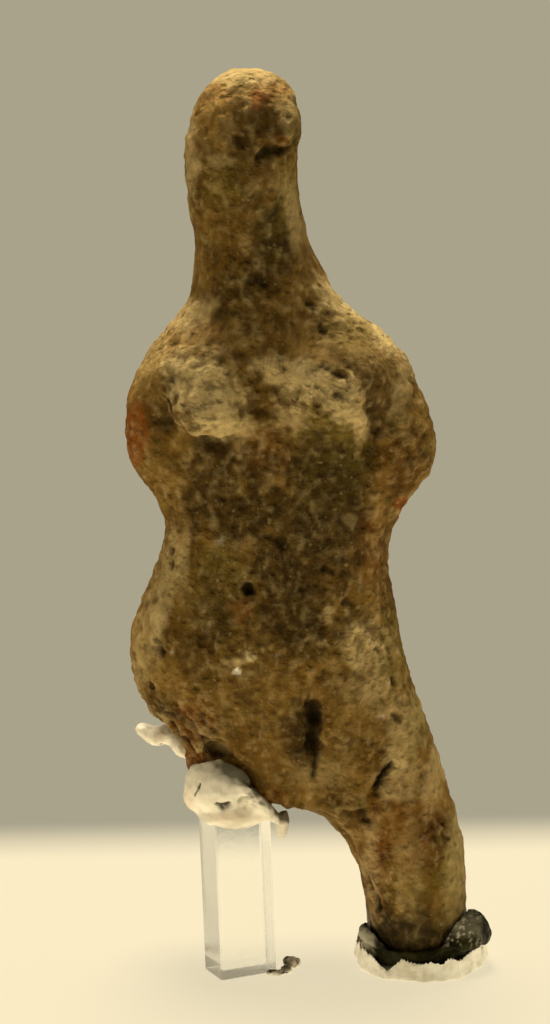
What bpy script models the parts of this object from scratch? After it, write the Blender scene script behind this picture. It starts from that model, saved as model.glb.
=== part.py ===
"""A hand-modelled clay figurine of a woman, with the clear post, putty and wax that hold it up."""

import math
from collections import namedtuple

import bmesh
import bpy
import numpy as np
from mathutils import Matrix, Vector

# Driving sizes, in metres
FIGURINE_HEIGHT = 0.1073
POST_WIDTH = 0.0073
POST_THICKNESS = 0.0050
POST_CHAMFER = 0.0002
POST_CENTRE = (-0.0051, -0.0043)
POST_TURN = math.radians(25)
POST_LEAN = math.radians(1.2)
HIP_PUTTY_THICKNESS = 0.0044
HIP_PUTTY_WIDTH = 0.0100
BED_THICKNESS = 0.0009
BED_RIM = 0.0020
BED_MARGIN = 0.0018
WAX_GIRTH = 0.0011
WAX_HEIGHT = 0.0014
WAX_SEAT = 0.8
CLEARANCE = 0.0003

# How fine each material is modelled
CLAY_GRID = 0.00070
CLAY_FACES = 6900
PUTTY_GRID = 0.00045
WAX_GRID = 0.00035
PUTTY_FACES = 460
CRUMB_FACES = 150
WAX_FACES = 760
WAX_LUMPS = 36
BED_SIDES = 56

# The figurine is drawn in hundredths of its height, up from the underside of its foot
PER_CENT = FIGURINE_HEIGHT / 100
FOOT_LEVEL = BED_THICKNESS + CLEARANCE
STUMP_LEVEL = FOOT_LEVEL + 21.3 * PER_CENT
POST_HEIGHT = STUMP_LEVEL - HIP_PUTTY_THICKNESS

Slice = namedtuple("Slice", "level left right front back squareness")
Lump = namedtuple("Lump", "centre radii tilt")
Swell = namedtuple("Swell", "centre reach height")
Groove = namedtuple("Groove", "start end width depth")
Thumbed = namedtuple("Thumbed", "turn spread girth height")

# One length of clay runs from the sole of the whole leg up through the trunk to the crown
SLICES = (
    Slice(0.0, 10.6, 20.6, -6.9, 5.6, 2.4),
    Slice(1.5, 9.9, 21.4, -7.6, 6.4, 2.4),
    Slice(5.0, 9.4, 21.0, -7.7, 6.0, 2.4),
    Slice(9.0, 8.9, 21.0, -8.0, 5.5, 2.4),
    Slice(12.5, 7.6, 20.7, -8.3, 5.1, 2.3),
    Slice(15.0, 6.2, 20.3, -8.4, 4.9, 2.3),
    Slice(17.0, 4.0, 19.8, -8.5, 4.9, 2.3),
    Slice(18.6, -0.8, 19.3, -8.6, 4.9, 2.3),
    Slice(19.6, -5.6, 19.0, -8.7, 4.9, 2.3),
    Slice(21.4, -10.4, 18.5, -8.8, 5.0, 2.3),
    Slice(24.4, -11.0, 17.6, -9.2, 5.4, 2.3),
    Slice(26.6, -13.2, 16.9, -9.6, 6.1, 2.3),
    Slice(28.6, -14.3, 16.2, -9.8, 6.6, 2.3),
    Slice(32.0, -16.2, 15.1, -10.4, 7.0, 2.3),
    Slice(36.0, -16.6, 14.0, -10.6, 7.0, 2.3),
    Slice(41.0, -15.4, 13.4, -10.2, 6.2, 2.3),
    Slice(46.0, -13.2, 12.6, -9.8, 4.8, 2.3),
    Slice(50.0, -12.2, 13.4, -9.4, 4.0, 2.3),
    Slice(54.0, -13.5, 16.2, -9.4, 3.8, 2.3),
    Slice(57.2, -15.8, 17.9, -9.8, 4.0, 2.4),
    Slice(60.0, -16.1, 17.7, -10.2, 4.4, 2.4),
    Slice(64.0, -16.0, 16.4, -10.5, 4.9, 2.4),
    Slice(68.0, -14.6, 15.0, -10.4, 5.2, 2.3),
    Slice(72.0, -11.6, 11.5, -9.8, 5.2, 2.2),
    Slice(74.6, -9.5, 7.9, -9.0, 5.1, 2.2),
    Slice(78.5, -8.4, 5.7, -8.4, 5.0, 2.2),
    Slice(82.0, -8.2, 4.2, -8.2, 4.9, 2.2),
    Slice(86.0, -9.0, 3.4, -8.4, 4.9, 2.2),
    Slice(90.0, -9.4, 3.3, -8.7, 4.8, 2.2),
    Slice(94.0, -8.8, 3.6, -8.6, 4.3, 2.2),
    Slice(97.0, -7.7, 2.9, -7.8, 3.5, 2.2),
    Slice(99.0, -6.0, 1.4, -6.2, 2.2, 2.2),
    Slice(100.0, -4.4, -0.3, -4.8, 0.6, 2.2),
)
RINGS = 110
SIDES = 48

# Pellets of clay pressed onto it
PELLETS = {
    "right breast": Lump((-7.2, -8.6, 66.6), (6.0, 3.6, 5.2), 14),
    "hang of the right breast": Lump((-7.0, -10.0, 64.2), (4.8, 3.2, 3.0), 8),
    "left breast": Lump((6.4, -8.8, 65.8), (6.2, 3.8, 5.8), -26),
    "hang of the left breast": Lump((6.6, -10.0, 65.6), (5.2, 3.2, 3.6), -24),
    "right buttock": Lump((-7.6, 2.4, 34.4), (8.0, 6.4, 9.6), 6),
    "left buttock": Lump((6.0, 2.4, 33.6), (8.2, 6.4, 10.0), -8),
    "pinched nose": Lump((2.3, -6.2, 94.2), (1.6, 2.6, 2.6), 0),
}

# Pieces missing from the broken hip
BREAKS = {
    "outer notch": Lump((-14.0, -4.4, 25.1), (4.1, 7.0, 2.9), 24),
    "under the hip": Lump((-12.8, 4.0, 21.0), (4.6, 6.0, 4.6), 0),
    "front of the stump": Lump((-11.6, -10.8, 23.8), (3.6, 2.3, 4.4), 32),
    "hollow over the putty": Lump((-6.8, -9.4, 25.6), (2.0, 3.6, 1.5), -12),
    "front under the hollow": Lump((-6.0, -10.2, 22.6), (4.8, 3.8, 2.9), 10),
    "back of the stump": Lump((-5.0, 4.6, 17.6), (5.6, 3.4, 2.6), 8),
}

# Soft swellings and hollows left by the maker's fingers
SWELLS = {
    "belly": Swell((-1.0, -10.2, 46.0), (8.0, 5.0, 5.0), 0.35),
    "fold over the hips": Swell((2.0, -10.8, 38.0), (15.0, 4.0, 2.6), 0.5),
    "under the breasts": Swell((0.0, -10.5, 58.0), (12.0, 5.0, 3.6), -0.6),
    "between the breasts": Swell((-0.6, -10.6, 65.5), (2.0, 3.0, 4.4), -0.7),
    "top of the left breast": Swell((5.6, -12.4, 68.4), (4.4, 2.5, 1.6), 0.5),
    "right stub arm": Swell((-15.6, -7.0, 62.0), (3.0, 4.0, 5.0), 0.7),
    "left stub arm": Swell((16.0, -7.0, 61.5), (3.4, 4.0, 5.4), 0.8),
    "mound": Swell((4.0, -10.4, 29.0), (6.0, 4.0, 5.0), 0.5),
    "hollow of the back": Swell((0.5, 5.0, 52.0), (7.0, 3.0, 7.0), -0.7),
    "heel": Swell((16.0, 6.6, 3.0), (5.0, 3.0, 3.0), 0.5),
    "navel": Swell((-3.1, -10.8, 44.7), (0.8, 1.5, 0.8), -1.2),
}

GROOVES = {
    "cleft": Groove((4.0, -11.0, 32.6), (4.1, -10.2, 25.6), 0.75, 1.5),
    "left thigh crease": Groove((12.4, -8.8, 26.4), (10.4, -9.0, 23.8), 0.8, 0.8),
    "left breast and arm": Groove((10.6, -9.6, 65.0), (10.6, -9.6, 58.0), 0.9, 0.9),
    "right breast and arm": Groove((-12.4, -9.0, 66.0), (-11.6, -9.4, 60.0), 1.2, 0.6),
    "mouth": Groove((-1.2, -9.0, 91.0), (2.7, -7.0, 92.4), 0.8, 0.7),
    "between the buttocks": Groove((-0.6, 9.0, 39.0), (-0.2, 7.0, 25.0), 1.3, 1.4),
    "spine": Groove((-0.4, 5.4, 66.0), (-0.2, 5.2, 44.0), 1.6, 0.5),
}

# Dabs and rolls of putty, in hundredths of the hip putty's width, from the middle of the post's top
HIP_DABS = (
    Lump((-14, -14, 42), (46, 46, 41), 0),
    Lump((-42, -8, 26), (20, 26, 21), -20),
    Lump((0, -8, 10), (48, 50, 22), 0),
    Lump((-4, 20, 34), (44, 30, 34), 0),
    Lump((24, -50, 36), (10, 12, 27), -46),
    Lump((42, -38, 14), (9, 12, 24), -40),
    Lump((58, -22, -8), (9, 10, 22), 8),
)
# The same, from the post's corner nearest to the whole leg
CRUMBS = (
    Lump((18, 17, 4), (12, 11, 7), 0),
    Lump((12, -2, 2), (7, 11, 5), 0),
    Lump((0, -14, 2), (14, 6, 4), 0),
)
# The same, from the back of the broken hip
BACK_DABS = (
    Lump((4, 0, 4), (20, 20, 12), -14),
    Lump((-14, 2, 10), (13, 14, 9), 20),
    Lump((34, -18, -6), (24, 22, 13), 36),
)
BACK_OF_HIP = (-13.9, 4.0, 23.9)

# Where the wax collar was thumbed up: which way round the foot, over what angle, and how much thicker and taller
# as shares of its own girth and height
WAX_BULGE = Thumbed(math.radians(-32), 0.50, 1.73, 1.50)
WAX_FLAP = Thumbed(math.radians(200), 0.35, 0.64, 1.00)

# The bed's cross-section, in shares of its reach from the middle of the foot
BED_MIDDLE_SHARE = 0.44
RIM_START_SHARE = 0.93
RIM_CREST_SHARE = 0.968
BED_FOOT_SHARE = 1.02
RIM_ROOM_SHARE = 0.03
BEYOND_THE_BED_SHARE = 1.5
BED_GAP = Thumbed(math.radians(236), 0.15, 0, 0.70)


def smooth_curve(levels, values, at):
    """Reads a smooth curve through the values that never swings past them."""
    step = np.diff(levels)
    slope = np.diff(values) / step
    turning = slope[:-1] * slope[1:] > 0
    mean = 2 * slope[:-1] * slope[1:] / np.where(turning, slope[:-1] + slope[1:], 1)
    lean = np.concatenate([slope[:1], np.where(turning, mean, 0), slope[-1:]])
    part = np.clip(np.searchsorted(levels, at) - 1, 0, len(step) - 1)
    t = (at - levels[part]) / step[part]
    return (
        (1 + 2 * t) * (1 - t) ** 2 * values[part]
        + t * (1 - t) ** 2 * step[part] * lean[part]
        + t**2 * (3 - 2 * t) * values[part + 1]
        - t**2 * (1 - t) * step[part] * lean[part + 1]
    )


def oval(turn, squareness):
    """A point of the unit oval, which is round at a squareness of 2 and boxier above."""
    return (math.copysign(abs(reach) ** (2 / squareness), reach) for reach in (math.cos(turn), math.sin(turn)))


def add_loft(bm, slices):
    """Skins a closed body over level slices, each an oval with its own front and back."""
    table = np.array(slices, float)
    levels = np.linspace(table[0, 0], table[-1, 0], RINGS)
    left, right, front, back, squareness = (smooth_curve(table[:, 0], column, levels) for column in table[:, 1:].T)
    skin = []
    for i, level in enumerate(levels):
        ring = []
        for turn in np.arange(SIDES) * 2 * math.pi / SIDES:
            across, along = oval(turn, squareness[i])
            x = (left[i] + right[i]) / 2 + (right[i] - left[i]) / 2 * across
            y = (front[i] + back[i]) / 2 + (back[i] - front[i]) / 2 * along
            ring.append(bm.verts.new((x, y, level)))
        skin.append(ring)
    for below, above in zip(skin, skin[1:]):
        for i in range(SIDES):
            j = (i + 1) % SIDES
            bm.faces.new((below[i], below[j], above[j], above[i]))
    bm.faces.new(reversed(skin[0]))
    bm.faces.new(skin[-1])


def add_lump(bm, lump):
    """Adds a flattened ball, tilted in degrees in the plane that faces the viewer."""
    turned = Matrix.Rotation(math.radians(lump.tilt), 4, "Y") @ Matrix.Diagonal((*lump.radii, 1))
    matrix = Matrix.Translation(lump.centre) @ turned
    bmesh.ops.create_uvsphere(bm, u_segments=28, v_segments=18, radius=1, matrix=matrix)


def new_object(name, bm, collection, scale=1.0, lift=0.0):
    """Makes an object from the drawn shape, brought to real size and lifted to its level."""
    bmesh.ops.transform(bm, matrix=Matrix.Translation((0, 0, lift)) @ Matrix.Scale(scale, 4), verts=bm.verts)
    mesh = bpy.data.meshes.new(name)
    bm.to_mesh(mesh)
    bm.free()
    obj = bpy.data.objects.new(name, mesh)
    collection.objects.link(obj)
    return obj


def new_cutter(name, bm, cutters, scale=1.0, lift=0.0):
    cutter = new_object(name, bm, cutters, scale, lift)
    cutter.hide_render = True
    cutter.display_type = "WIRE"
    return cutter


def fuse(obj, grid, smoothing):
    """Joins overlapping lumps into one skin, and rubs the joins over."""
    remesh = obj.modifiers.new("one skin", "REMESH")
    remesh.mode = "VOXEL"
    remesh.voxel_size = grid
    if smoothing:
        rub = obj.modifiers.new("rubbed over", "SMOOTH")
        rub.factor = 0.5
        rub.iterations = smoothing


def cut(obj, cutter):
    boolean = obj.modifiers.new(cutter.name, "BOOLEAN")
    boolean.operation = "DIFFERENCE"
    boolean.solver = "MANIFOLD"
    boolean.object = cutter


def thin_out(obj, faces):
    """Keeps about this many triangles, most of them where the shape turns."""
    have = sum(len(face.vertices) - 2 for face in settled_mesh(obj).polygons)
    decimate = obj.modifiers.new("fewer faces", "DECIMATE")
    decimate.ratio = min(1.0, faces / have)


def settled_mesh(obj):
    bpy.context.view_layer.update()
    return bpy.data.meshes.new_from_object(obj.evaluated_get(bpy.context.evaluated_depsgraph_get()))


def settle(obj):
    """Turns what the modifiers give into the object's own mesh."""
    mesh = settled_mesh(obj)
    obj.modifiers.clear()
    obj.data = mesh
    return mesh


def read_vectors(items, attribute):
    values = np.empty(len(items) * 3, np.float32)
    items.foreach_get(attribute, values)
    return values.reshape(-1, 3).astype(float)


def write_points(mesh, points):
    mesh.vertices.foreach_set("co", points.astype(np.float32).ravel())
    mesh.update()


def grown_copy(obj, cutters, by=CLEARANCE):
    """A cutter of the object's own shape, larger all round by the clearance."""
    mesh = settled_mesh(obj)
    write_points(mesh, read_vectors(mesh.vertices, "co") + by * read_vectors(mesh.vertex_normals, "vector"))
    cutter = bpy.data.objects.new(f"room for {obj.name}", mesh)
    cutter.matrix_world = obj.matrix_world
    cutter.hide_render = True
    cutter.display_type = "WIRE"
    cutters.objects.link(cutter)
    return cutter


def figurine_scale(points):
    """Metres to hundredths of the figurine's height."""
    return (points - np.array((0, 0, FOOT_LEVEL))) / PER_CENT


def press_and_pull(mesh):
    """Moves the skin in and out along its normals for each swelling and groove."""
    points = read_vectors(mesh.vertices, "co")
    normals = read_vectors(mesh.vertex_normals, "vector")
    drawn = figurine_scale(points)
    rise = np.zeros(len(points))
    for swell in SWELLS.values():
        away = (drawn - np.array(swell.centre)) / np.array(swell.reach)
        rise += swell.height * np.exp(-(away**2).sum(axis=1))
    for groove in GROOVES.values():
        start, run = np.array(groove.start), np.subtract(groove.end, groove.start)
        along = np.clip((drawn - start) @ run / (run @ run), 0, 1)
        away = drawn - start - along[:, None] * run
        rise -= groove.depth * np.exp(-(away**2).sum(axis=1) / groove.width**2)
    write_points(mesh, points + rise[:, None] * PER_CENT * normals)


def make_figurine(parts, cutters):
    bm = bmesh.new()
    add_loft(bm, SLICES)
    for pellet in PELLETS.values():
        add_lump(bm, pellet)
    figurine = new_object("figurine", bm, parts, PER_CENT, FOOT_LEVEL)
    fuse(figurine, CLAY_GRID, 0)
    for name, bite in BREAKS.items():
        bm = bmesh.new()
        add_lump(bm, bite)
        cut(figurine, new_cutter(name, bm, cutters, PER_CENT, FOOT_LEVEL))
    fuse(figurine, CLAY_GRID, 5)
    press_and_pull(settle(figurine))
    thin_out(figurine, CLAY_FACES)
    return figurine


def post_matrix():
    turned = Matrix.Rotation(POST_TURN, 4, "Z")
    leaning = Matrix.Rotation(-POST_LEAN, 4, "Y")
    return Matrix.Translation((*POST_CENTRE, 0)) @ leaning @ turned


def post_block(grow=0.0, below=0.0):
    """The post as a block, cut level where it stands, larger all round by grow."""
    bm = bmesh.new()
    bmesh.ops.create_cube(bm, size=1)
    size = Vector((POST_WIDTH + 2 * grow, POST_THICKNESS + 2 * grow, 2 * (POST_HEIGHT + grow)))
    bmesh.ops.transform(bm, matrix=post_matrix() @ Matrix.Diagonal((*size, 1)), verts=bm.verts)
    sides = [edge for edge in bm.edges if abs((edge.verts[0].co - edge.verts[1].co).z) > POST_HEIGHT]
    bmesh.ops.bevel(bm, geom=sides, offset=POST_CHAMFER, segments=1, affect="EDGES")
    everything = bm.verts[:] + bm.edges[:] + bm.faces[:]
    bmesh.ops.bisect_plane(bm, geom=everything, plane_co=(0, 0, -below), plane_no=(0, 0, -1), clear_outer=True)
    bmesh.ops.holes_fill(bm, edges=[edge for edge in bm.edges if edge.is_boundary])
    bmesh.ops.recalc_face_normals(bm, faces=bm.faces)
    return bm


def press_dabs(name, dabs, start, parts, grid, smoothing):
    """Fuses dabs of putty, placed from a starting point, into one lump."""
    unit = HIP_PUTTY_WIDTH / 100
    bm = bmesh.new()
    for dab in dabs:
        add_lump(bm, Lump(start + unit * Vector(dab.centre), unit * Vector(dab.radii), dab.tilt))
    putty = new_object(name, bm, parts)
    fuse(putty, grid, smoothing)
    return putty


def make_putty(name, dabs, start, parts, room):
    """A lump of putty hollowed round what it touches."""
    putty = press_dabs(name, dabs, start, parts, PUTTY_GRID, 3)
    thin_out(putty, PUTTY_FACES)
    for cutter in room:
        cut(putty, cutter)
    return putty


def sole_outline():
    """Centre and half sizes of the foot, a little above its underside, in metres."""
    foot = SLICES[1]
    centre = Vector(((foot.left + foot.right) / 2, (foot.front + foot.back) / 2, 0)) * PER_CENT
    return centre, (foot.right - foot.left) / 2 * PER_CENT, (foot.back - foot.front) / 2 * PER_CENT


def add_turned(bm, profile, wobble):
    """Turns a profile of (share of the reach, level) round the sole, closed above and below."""
    centre, half_width, half_depth = sole_outline()
    reach_x, reach_y = half_width + BED_MARGIN, half_depth + BED_MARGIN
    rings = []
    for share, level in profile:
        ring = []
        for i in range(BED_SIDES):
            turn = i * 2 * math.pi / BED_SIDES
            ragged, torn = wobble(turn)
            out = Vector((reach_x * math.cos(turn), reach_y * math.sin(turn), 0)) * share * ragged
            height = level if level <= BED_THICKNESS else BED_THICKNESS + (level - BED_THICKNESS) * torn
            ring.append(bm.verts.new(centre + out + Vector((0, 0, height))))
        rings.append(ring)
    for inner, outer in zip(rings, rings[1:]):
        for i in range(BED_SIDES):
            j = (i + 1) % BED_SIDES
            bm.faces.new((inner[i], outer[i], outer[j], inner[j]))
    bm.faces.new(rings[0])
    bm.faces.new(rings[-1])
    bmesh.ops.recalc_face_normals(bm, faces=bm.faces)


def torn_edge(turn):
    """How far out and how high the squeezed putty reaches at each turn round the foot."""
    ragged = 1 + 0.025 * math.sin(5 * turn + 1) + 0.015 * math.sin(11 * turn) + 0.010 * math.sin(23 * turn)
    torn = 0.82 + 0.10 * math.sin(9 * turn) + 0.08 * math.sin(17 * turn + 2)
    return ragged, torn - BED_GAP.height * thumbed_share(turn, BED_GAP)


def make_foot_bed(parts):
    """A flat pat of putty with a ragged raised rim, as it squeezed out under the foot."""
    top, rim = BED_THICKNESS, BED_THICKNESS + BED_RIM
    bm = bmesh.new()
    profile = (
        (BED_MIDDLE_SHARE, top),
        (RIM_START_SHARE, top),
        (RIM_CREST_SHARE, rim),
        (1.0, top),
        (BED_FOOT_SHARE, 0.0),
    )
    add_turned(bm, profile, torn_edge)
    return new_object("foot_bed", bm, parts)


def bed_room(cutters):
    """What the wax is kept out of: the bed's level, and its rim at its highest."""
    level = BED_THICKNESS + CLEARANCE
    rim = level + BED_RIM
    middle, inside, beyond = BED_MIDDLE_SHARE, RIM_START_SHARE - RIM_ROOM_SHARE, BEYOND_THE_BED_SHARE
    bm = bmesh.new()
    profile = ((middle, level), (inside, level), (inside, rim), (beyond, rim), (beyond, -rim), (middle, -rim))
    add_turned(bm, profile, lambda turn: (1, 1))
    return new_cutter("room for foot_bed", bm, cutters)


def thumbed_share(turn, thumbed):
    """How much of a thumbed-up place is felt at this turn round the foot, 1 at its middle."""
    away = (turn - thumbed.turn + math.pi) % (2 * math.pi) - math.pi
    return math.exp(-((away / thumbed.spread) ** 2))


def make_foot_wax(parts, room):
    """A collar of dark wax, thumbed up into a bulge on the outer side and a flap on the inner side."""
    centre, half_width, half_depth = sole_outline()
    bm = bmesh.new()
    for i in range(WAX_LUMPS):
        turn = i * 2 * math.pi / WAX_LUMPS
        bulge, flap = thumbed_share(turn, WAX_BULGE), thumbed_share(turn, WAX_FLAP)
        girth = WAX_GIRTH * (1 + bulge * WAX_BULGE.girth + flap * WAX_FLAP.girth)
        height = WAX_HEIGHT * (1 + bulge * WAX_BULGE.height + flap * WAX_FLAP.height)
        across, along = oval(turn, SLICES[1].squareness)
        out = Vector((half_width * across, half_depth * along, FOOT_LEVEL + height * WAX_SEAT))
        add_lump(bm, Lump(centre + out, (girth, girth, height), 0))
    wax = new_object("foot_wax", bm, parts)
    fuse(wax, WAX_GRID, 2)
    for cutter in room:
        cut(wax, cutter)
    fuse(wax, WAX_GRID, 1)
    thin_out(wax, WAX_FACES)
    return wax


def make_crumb(parts, cutters):
    """A crumb of putty dropped beside the post's nearest right-hand corner, cut flat where it lies."""
    corner = post_matrix() @ Vector((POST_WIDTH / 2, -POST_THICKNESS / 2, 0))
    crumb = press_dabs("putty_crumb", CRUMBS, corner, parts, PUTTY_GRID / 2, 1)
    table = bmesh.new()
    below = Matrix.Translation((0, 0, -POST_HEIGHT / 2))
    bmesh.ops.create_cube(table, size=POST_HEIGHT, matrix=below)
    cut(crumb, new_cutter("level of the table", table, cutters))
    thin_out(crumb, CRUMB_FACES)
    return crumb


def paint(obj, name, colour, roughness, alpha=1.0):
    """Gives the object one plain material of its own."""
    material = bpy.data.materials.new(name)
    material.use_nodes = True
    shader = material.node_tree.nodes["Principled BSDF"]
    shader.inputs["Base Color"].default_value = (*colour, 1)
    shader.inputs["Roughness"].default_value = roughness
    shader.inputs["Metallic"].default_value = 0
    shader.inputs["Alpha"].default_value = alpha
    obj.data.materials.clear()
    obj.data.materials.append(material)


def main():
    for obj in list(bpy.data.objects):
        bpy.data.objects.remove(obj)
    parts = bpy.data.collections.new("clay figurine")
    cutters = bpy.data.collections.new("cutters")
    bpy.context.scene.collection.children.link(parts)
    bpy.context.scene.collection.children.link(cutters)

    figurine = make_figurine(parts, cutters)
    post = new_object("acrylic_post", post_block(), parts)
    clay_room = grown_copy(figurine, cutters)
    post_room = new_cutter("room for acrylic_post", post_block(CLEARANCE, POST_HEIGHT / 2), cutters)
    post_top = post_matrix() @ Vector((0, 0, POST_HEIGHT))
    hip_putty = make_putty("hip_putty", HIP_DABS, post_top, parts, (clay_room, post_room))
    back_of_hip = Vector(BACK_OF_HIP) * PER_CENT + Vector((0, 0, FOOT_LEVEL))
    back_room = (clay_room, grown_copy(hip_putty, cutters))
    back_putty = make_putty("back_putty", BACK_DABS, back_of_hip, parts, back_room)
    bed = make_foot_bed(parts)
    wax = make_foot_wax(parts, (clay_room, bed_room(cutters)))
    crumb = make_crumb(parts, cutters)

    paint(figurine, "fired clay", (0.20, 0.13, 0.06), 0.85)
    paint(post, "clear acrylic", (0.92, 0.93, 0.90), 0.1, 0.3)
    for obj in (hip_putty, back_putty, crumb):
        paint(obj, f"putty of {obj.name}", (0.72, 0.66, 0.54), 0.6)
    paint(bed, "bed putty", (0.80, 0.75, 0.62), 0.6)
    paint(wax, "dark wax", (0.02, 0.03, 0.02), 0.25)

    corners = []
    for obj in parts.objects:
        corners.extend(read_vectors(settled_mesh(obj).vertices, "co"))
    middle = (np.min(corners, axis=0) + np.max(corners, axis=0)) / 2
    stand = bpy.data.objects.new("middle of the base", None)
    parts.objects.link(stand)
    stand.location = (-middle[0], -middle[1], 0)
    for obj in (*parts.objects, *cutters.objects):
        if obj is not stand:
            obj.parent = stand


main()
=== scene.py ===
"""The looks of a hand-modelled clay figurine of a woman, held up by a clear post, putty and wax.

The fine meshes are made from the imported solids: each solid is skinned again with small faces, rubbed smooth,
and then pressed, pitted and scratched. Marks that show in the photograph are placed by its pixels, across and
down from the top left corner, and dropped from the camera onto the surface that they lie on.
"""

import itertools
import math
from collections import namedtuple

import bpy
import numpy as np
from mathutils import Matrix, Vector
from mathutils.bvhtree import BVHTree


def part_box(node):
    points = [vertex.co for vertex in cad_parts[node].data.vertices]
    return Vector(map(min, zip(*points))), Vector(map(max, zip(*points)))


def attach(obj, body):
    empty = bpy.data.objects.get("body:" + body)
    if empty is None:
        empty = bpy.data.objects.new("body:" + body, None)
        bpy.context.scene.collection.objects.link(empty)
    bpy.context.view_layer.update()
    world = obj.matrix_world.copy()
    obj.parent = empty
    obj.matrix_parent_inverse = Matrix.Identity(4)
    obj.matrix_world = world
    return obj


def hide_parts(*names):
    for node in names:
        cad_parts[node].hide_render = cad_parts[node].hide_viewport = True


MM = 0.001

# The photograph's frame, and where its camera stood
FRAME_WIDE, FRAME_HIGH = 550, 1024
FOCAL_PIXELS = 3528
SENSOR_LONG_SIDE = 36.0
AIM_FROM_POST = Vector((9.8, 8.0, 55.7)) * MM
CAMERA_DISTANCE = 420 * MM
CAMERA_PITCH = math.radians(12.1)
CAMERA_ROLL = math.radians(1.0)

# How fine each skin is
CLAY_SKIN = 0.31 * MM
PUTTY_SKIN = 0.14 * MM
WAX_SKIN = 0.16 * MM
BED_SKIN = 0.12 * MM

Mark = namedtuple("Mark", "path width depth")
Patch = namedtuple("Patch", "across down wide high tilt strength")

# Holes with crisp edges in the clay: pixel path, then width and depth in millimetres
HOLES = (
    Mark(((297, 143), (299, 147)), 0.40, 0.45),
    Mark(((257, 279), (262, 283)), 0.65, 0.55),
    Mark(((310, 302), (314, 307)), 0.45, 0.40),
    Mark(((321, 326), (324, 331)), 0.50, 0.45),
    Mark(((322, 366), (326, 368)), 0.50, 0.55),
    Mark(((333, 372), (340, 376)), 0.60, 0.65),
    Mark(((336, 395), (341, 397)), 0.50, 0.50),
    Mark(((278, 542), (282, 545)), 0.50, 0.45),
    Mark(((170, 549), (170, 553)), 0.40, 0.35),
    Mark(((170, 562), (171, 566)), 0.40, 0.35),
    Mark(((325, 569), (333, 572)), 0.45, 0.40),
    Mark(((346, 603), (353, 606)), 0.45, 0.45),
    Mark(((154, 640), (157, 643)), 0.35, 0.35),
    Mark(((158, 649), (160, 654)), 0.50, 0.60),
    Mark(((147, 686), (149, 689)), 0.50, 0.60),
    Mark(((394, 678), (396, 683)), 0.35, 0.35),
    Mark(((395, 715), (400, 719)), 0.50, 0.45),
    Mark(((377, 649), (380, 652)), 0.35, 0.30),
    Mark(((362, 813), (367, 824)), 0.60, 0.70),
    Mark(((369, 882), (371, 888)), 0.50, 0.55),
    Mark(((375, 899), (378, 908)), 0.60, 0.75),
)
# Shallow dents and pits with soft edges
PITS = (
    Mark(((236, 136), (240, 138)), 0.45, 0.35),
    Mark(((240, 146), (245, 144)), 0.45, 0.35),
    Mark(((233, 164), (236, 167)), 0.40, 0.30),
    Mark(((214, 246), (215, 262)), 0.65, 0.35),
    Mark(((247, 268), (250, 262)), 0.55, 0.25),
    Mark(((268, 291), (270, 295)), 0.50, 0.35),
    Mark(((196, 294), (199, 300)), 0.50, 0.35),
    Mark(((300, 204), (303, 218)), 0.35, 0.30),
    Mark(((328, 312), (334, 316)), 0.45, 0.40),
    Mark(((281, 323), (285, 326)), 0.35, 0.25),
    Mark(((366, 409), (372, 415)), 0.55, 0.45),
    Mark(((168, 378), (173, 384)), 0.45, 0.30),
    Mark(((153, 420), (166, 427)), 0.60, 0.40),
    Mark(((238, 404), (248, 410)), 0.70, 0.45),
    Mark(((258, 411), (272, 412)), 0.50, 0.30),
    Mark(((205, 440), (218, 444)), 0.60, 0.45),
    Mark(((252, 486), (257, 492)), 0.45, 0.35),
    Mark(((275, 505), (278, 509)), 0.40, 0.30),
    Mark(((316, 484), (319, 492)), 0.40, 0.30),
    Mark(((210, 528), (215, 533)), 0.45, 0.35),
    Mark(((234, 524), (237, 528)), 0.40, 0.30),
    Mark(((243, 506), (248, 508)), 0.40, 0.30),
    Mark(((201, 575), (204, 579)), 0.35, 0.30),
    Mark(((368, 622), (372, 627)), 0.50, 0.45),
    Mark(((224, 615), (228, 622)), 0.60, 0.40),
    Mark(((262, 618), (268, 630)), 0.60, 0.30),
    Mark(((278, 628), (292, 634)), 0.60, 0.30),
    Mark(((209, 645), (213, 652)), 0.50, 0.30),
    Mark(((187, 609), (189, 617)), 0.45, 0.25),
    Mark(((340, 812), (348, 816)), 0.50, 0.45),
    Mark(((322, 800), (327, 806)), 0.50, 0.40),
    Mark(((334, 798), (340, 803)), 0.45, 0.35),
    Mark(((347, 840), (351, 846)), 0.50, 0.40),
    Mark(((431, 823), (434, 829)), 0.42, 0.35),
    Mark(((440, 820), (444, 824)), 0.42, 0.35),
    Mark(((443, 832), (446, 838)), 0.42, 0.35),
    Mark(((434, 838), (437, 842)), 0.40, 0.30),
    Mark(((450, 815), (452, 820)), 0.40, 0.30),
    Mark(((383, 700), (386, 704)), 0.40, 0.30),
)
NAVEL = Mark(((248, 587), (249, 590)), 0.55, 1.1)

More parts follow.
